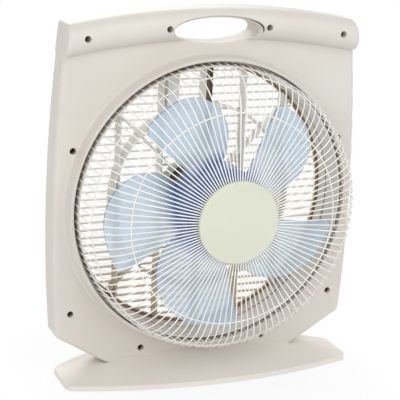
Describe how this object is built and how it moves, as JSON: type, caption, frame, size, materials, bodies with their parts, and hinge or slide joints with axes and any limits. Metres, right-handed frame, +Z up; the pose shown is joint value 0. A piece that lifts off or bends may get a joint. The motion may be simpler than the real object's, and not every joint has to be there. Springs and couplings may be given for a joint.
{
  "type": "floor fan",
  "caption": "Box-shaped floor fan with a rolled carrying handle, round wire guard, twisted blades on an induction motor, slatted rear grille and a lens-shaped foot.",
  "frame": {"origin": "on the floor, under the middle of the whole fan", "axes": "+Z up, the fan blows towards -Y, +X to the right seen from the front"},
  "size_m": [0.4182, 0.204, 0.4804],
  "materials": {
    "shell_plastic": "fine satin moulding, warm white",
    "base_plastic": "fine satin moulding, warm white",
    "disc_plastic": "smooth satin gloss, pale",
    "guard_wire": "cream powder coat",
    "blade_plastic": "tinted blue plastic, glossy and slightly translucent",
    "grille_plastic": "satin moulding, warm grey white",
    "motor_paint": "black enamel",
    "stator_steel": "stacked sheet edges",
    "copper": "lacquered copper wire",
    "bush_bronze": "sintered bronze",
    "shaft_steel": "ground steel",
    "rotor_metal": "cast rotor",
    "screw_steel": "dark plated steel",
    "pad_rubber": "matt black rubber",
    "inner_plastic": "black moulding",
    "knob_plastic": "satin moulding, warm white",
    "nut_plastic": "tinted blue plastic"
  },
  "bodies": {
    "housing": {"front_shell": "shell_plastic", "rear_shell": "shell_plastic", "shell_screws": "screw_steel", "guard_wires": "guard_wire", "guard_inner_hoop": "guard_wire", "guard_outer_hoop": "guard_wire", "guard_rim": "guard_wire", "guard_disc": "disc_plastic", "guard_back_plate": "guard_wire", "guard_disc_screw": "screw_steel", "rear_guard": "grille_plastic", "cable_cover": "grille_plastic", "base_stand": "base_plastic", "rear_guard_screws": "screw_steel", "base_screws": "screw_steel", "base_pads": "pad_rubber", "motor_stator": "stator_steel", "motor_windings": "copper", "motor_front_cover": "motor_paint", "motor_rear_cover": "motor_paint", "motor_bearings": "bush_bronze", "motor_bolts": "screw_steel", "motor_nuts": "screw_steel", "speed_switch": "inner_plastic", "switch_nut": "screw_steel", "run_capacitor": "inner_plastic", "terminal_block": "inner_plastic", "cord_gland": "inner_plastic"},
    "impeller": {"impeller": "blade_plastic", "impeller_nut": "nut_plastic", "motor_shaft": "shaft_steel", "motor_rotor": "rotor_metal", "drive_pin": "shaft_steel"},
    "knob": {"speed_knob": "knob_plastic", "switch_spindle": "shaft_steel"}
  },
  "joints": [
    {"name": "impeller_spin", "type": "hinge", "parent": "housing", "child": "impeller", "pos_m": [0, 0.022, 0.228], "axis": [0, 1, 0], "continuous": true},
    {"name": "speed_knob_turn", "type": "hinge", "parent": "housing", "child": "knob", "pos_m": [-0.16, 0.022, 0.378], "axis": [0, -1, 0], "range_deg": [0, 135]}
  ]
}
